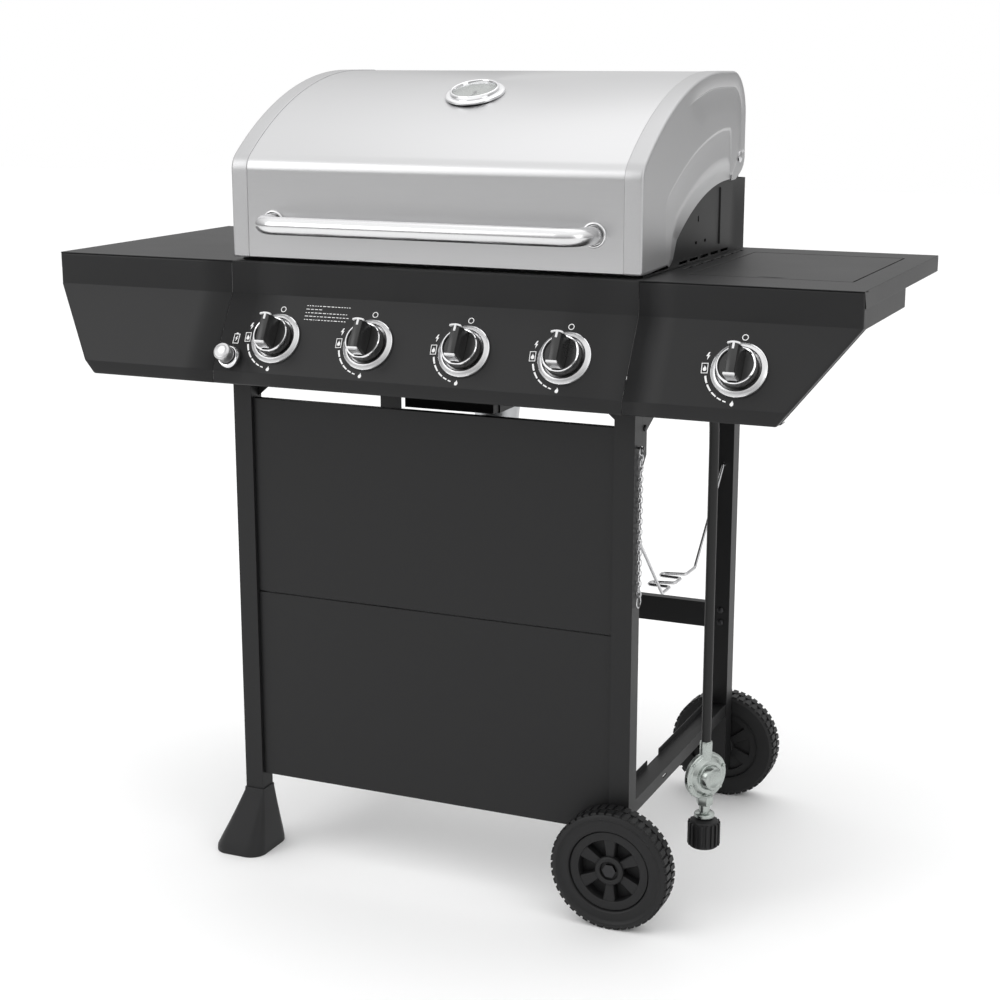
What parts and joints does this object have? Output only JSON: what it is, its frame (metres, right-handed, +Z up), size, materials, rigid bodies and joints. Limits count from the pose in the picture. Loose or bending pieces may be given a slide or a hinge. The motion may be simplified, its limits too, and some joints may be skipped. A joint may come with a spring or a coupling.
{
  "type": "gas barbecue grill",
  "caption": "Cart-mounted gas barbecue with a hinged domed lid, turning burner knobs, folding side burner cover, side shelves, wheels and a hanging gas hose.",
  "frame": {"origin": "centre of the bounding box footprint at ground level, measured without the hanging hose", "axes": "+X to the right of someone facing the control panel, +Y from the panel to the back, +Z up"},
  "size_m": [1.2, 0.606, 1.153],
  "materials": {
    "charcoal_enamel": "satin charcoal powder coat",
    "firebox_enamel": "dark satin enamel",
    "foot_plastic": "dark grey moulded plastic",
    "wheel_plastic": "matte black moulded plastic",
    "plated_steel": "zinc-plated steel",
    "stainless": "brushed stainless steel",
    "silver_paint": "smooth silver-grey paint",
    "bright_chrome": "bright chrome plate",
    "black_plastic": "glossy black plastic",
    "valve_brass": "machined brass",
    "cast_zinc": "plain cast and plated light metal",
    "grate_iron": "black enamelled cast iron",
    "clear_glass": "clear glass",
    "hose_rubber": "matte black rubber"
  },
  "bodies": {
    "cart_and_firebox": {"leg_front_left": "charcoal_enamel", "leg_front_right": "charcoal_enamel", "leg_rear_left": "charcoal_enamel", "leg_rear_right": "charcoal_enamel", "leg_brackets": "charcoal_enamel", "rear_crossbar": "charcoal_enamel", "tank_beam": "charcoal_enamel", "left_beam": "charcoal_enamel", "front_panel_upper": "charcoal_enamel", "front_panel_lower": "charcoal_enamel", "foot_caps": "foot_plastic", "cart_bolts": "plated_steel", "firebox_walls": "firebox_enamel", "firebox_sides": "firebox_enamel", "firebox_funnel": "firebox_enamel", "control_panel": "charcoal_enamel", "fascia_left": "charcoal_enamel", "fascia_right": "charcoal_enamel", "shelf_left": "charcoal_enamel", "shelf_right": "charcoal_enamel", "side_burner_well": "firebox_enamel", "side_burner": "cast_zinc", "side_burner_grate": "grate_iron", "manifold": "cast_zinc", "valves": "valve_brass", "bezels": "bright_chrome", "igniter_box": "black_plastic", "burners": "stainless", "flame_tamers": "stainless", "cooking_grates": "grate_iron", "warming_rack": "plated_steel", "lid_brackets": "firebox_enamel", "lid_pivot_bolts": "plated_steel", "hose": "hose_rubber", "regulator": "cast_zinc"},
    "lid": {"lid_skin": "stainless", "lid_end_caps": "silver_paint", "lid_handle": "stainless", "gauge_case": "bright_chrome", "gauge_glass": "clear_glass"},
    "needle": {"gauge_needle": "black_plastic"},
    "burner_cover": {"side_burner_cover": "charcoal_enamel"},
    "front_wheel": {"wheel_front": "wheel_plastic"},
    "rear_wheel": {"wheel_rear": "wheel_plastic"},
    "wire": {"tank_wire": "plated_steel"},
    "chain": {"match_chain": "plated_steel"},
    "tray": {"grease_tray": "firebox_enamel"},
    "cup": {"grease_cup": "cast_zinc"},
    "nut": {"coupling_nut": "black_plastic"},
    "igniter": {"igniter_button": "bright_chrome"},
    "stem1": {"stem_1": "stainless"},
    "knob1": {"knob_1": "black_plastic"},
    "stem2": {"stem_2": "stainless"},
    "knob2": {"knob_2": "black_plastic"},
    "stem3": {"stem_3": "stainless"},
    "knob3": {"knob_3": "black_plastic"},
    "stem4": {"stem_4": "stainless"},
    "knob4": {"knob_4": "black_plastic"},
    "stem5": {"stem_5": "stainless"},
    "knob5": {"knob_5": "black_plastic"}
  },
  "joints": [
    {"name": "lid_hinge", "type": "hinge", "parent": "cart_and_firebox", "child": "lid", "pos_m": [0, 0.21499, 1.03], "axis": [-1, 0, 0], "range_deg": [0, 90]},
    {"name": "gauge_turn", "type": "hinge", "parent": "lid", "child": "needle", "pos_m": [0, -0.05551, 1.12213], "axis": [0, 0.3394, -0.9406], "range_deg": [0, 270], "stiffness_Nm_per_rad": 0.0004},
    {"name": "cover_hinge", "type": "hinge", "parent": "cart_and_firebox", "child": "burner_cover", "pos_m": [0.453, 0.18099, 0.8885], "axis": [-1, 0, 0], "range_deg": [0, 95]},
    {"name": "push_1", "type": "slide", "parent": "cart_and_firebox", "child": "stem1", "axis": [0, 0.866, -0.5], "range_m": [0, 0.005], "stiffness_N_per_m": 400},
    {"name": "turn_1", "type": "hinge", "parent": "stem1", "child": "knob1", "pos_m": [-0.21675, -0.25301, 0.78984], "axis": [0, -0.866, 0.5], "range_deg": [0, 180]},
    {"name": "push_2", "type": "slide", "parent": "cart_and_firebox", "child": "stem2", "axis": [0, 0.866, -0.5], "range_m": [0, 0.005], "stiffness_N_per_m": 400},
    {"name": "turn_2", "type": "hinge", "parent": "stem2", "child": "knob2", "pos_m": [-0.07225, -0.25301, 0.78984], "axis": [0, -0.866, 0.5], "range_deg": [0, 180]},
    {"name": "push_3", "type": "slide", "parent": "cart_and_firebox", "child": "stem3", "axis": [0, 0.866, -0.5], "range_m": [0, 0.005], "stiffness_N_per_m": 400},
    {"name": "turn_3", "type": "hinge", "parent": "stem3", "child": "knob3", "pos_m": [0.07225, -0.25301, 0.78984], "axis": [0, -0.866, 0.5], "range_deg": [0, 180]},
    {"name": "push_4", "type": "slide", "parent": "cart_and_firebox", "child": "stem4", "axis": [0, 0.866, -0.5], "range_m": [0, 0.005], "stiffness_N_per_m": 400},
    {"name": "turn_4", "type": "hinge", "parent": "stem4", "child": "knob4", "pos_m": [0.21675, -0.25301, 0.78984], "axis": [0, -0.866, 0.5], "range_deg": [0, 180]},
    {"name": "push_5", "type": "slide", "parent": "cart_and_firebox", "child": "stem5", "axis": [0, 0.866, -0.5], "range_m": [0, 0.005], "stiffness_N_per_m": 400},
    {"name": "turn_5", "type": "hinge", "parent": "stem5", "child": "knob5", "pos_m": [0.453, -0.25301, 0.78984], "axis": [0, -0.866, 0.5], "range_deg": [0, 180]},
    {"name": "igniter_push", "type": "slide", "parent": "cart_and_firebox", "child": "igniter", "axis": [0, 0.866, -0.5], "range_m": [0, 0.004], "stiffness_N_per_m": 600},
    {"name": "front_wheel_spin", "type": "hinge", "parent": "cart_and_firebox", "child": "front_wheel", "pos_m": [0.2915, -0.24851, 0.0855], "axis": [0, 1, 0], "continuous": true},
    {"name": "rear_wheel_spin", "type": "hinge", "parent": "cart_and_firebox", "child": "rear_wheel", "pos_m": [0.2915, 0.28349, 0.0855], "axis": [0, 1, 0], "continuous": true},
    {"name": "wire_swing", "type": "hinge", "parent": "cart_and_firebox", "child": "wire", "pos_m": [0.2915, 0.01749, 0.559], "axis": [0, 1, 0], "range_deg": [-90, 90]},
    {"name": "chain_swing", "type": "hinge", "parent": "cart_and_firebox", "child": "chain", "pos_m": [0.31, -0.21201, 0.67055], "axis": [1, 0, 0], "range_deg": [-25, 25]},
    {"name": "tray_slide", "type": "slide", "parent": "cart_and_firebox", "child": "tray", "axis": [0, 1, 0], "range_m": [0, 0.3]},
    {"name": "cup_slide", "type": "slide", "parent": "cart_and_firebox", "child": "cup", "axis": [0, 1, 0], "range_m": [0, 0.12]},
    {"name": "nut_spin", "type": "hinge", "parent": "cart_and_firebox", "child": "nut", "pos_m": [0.391, -0.15001, 0.117], "axis": [0, 0, 1], "continuous": true}
  ]
}
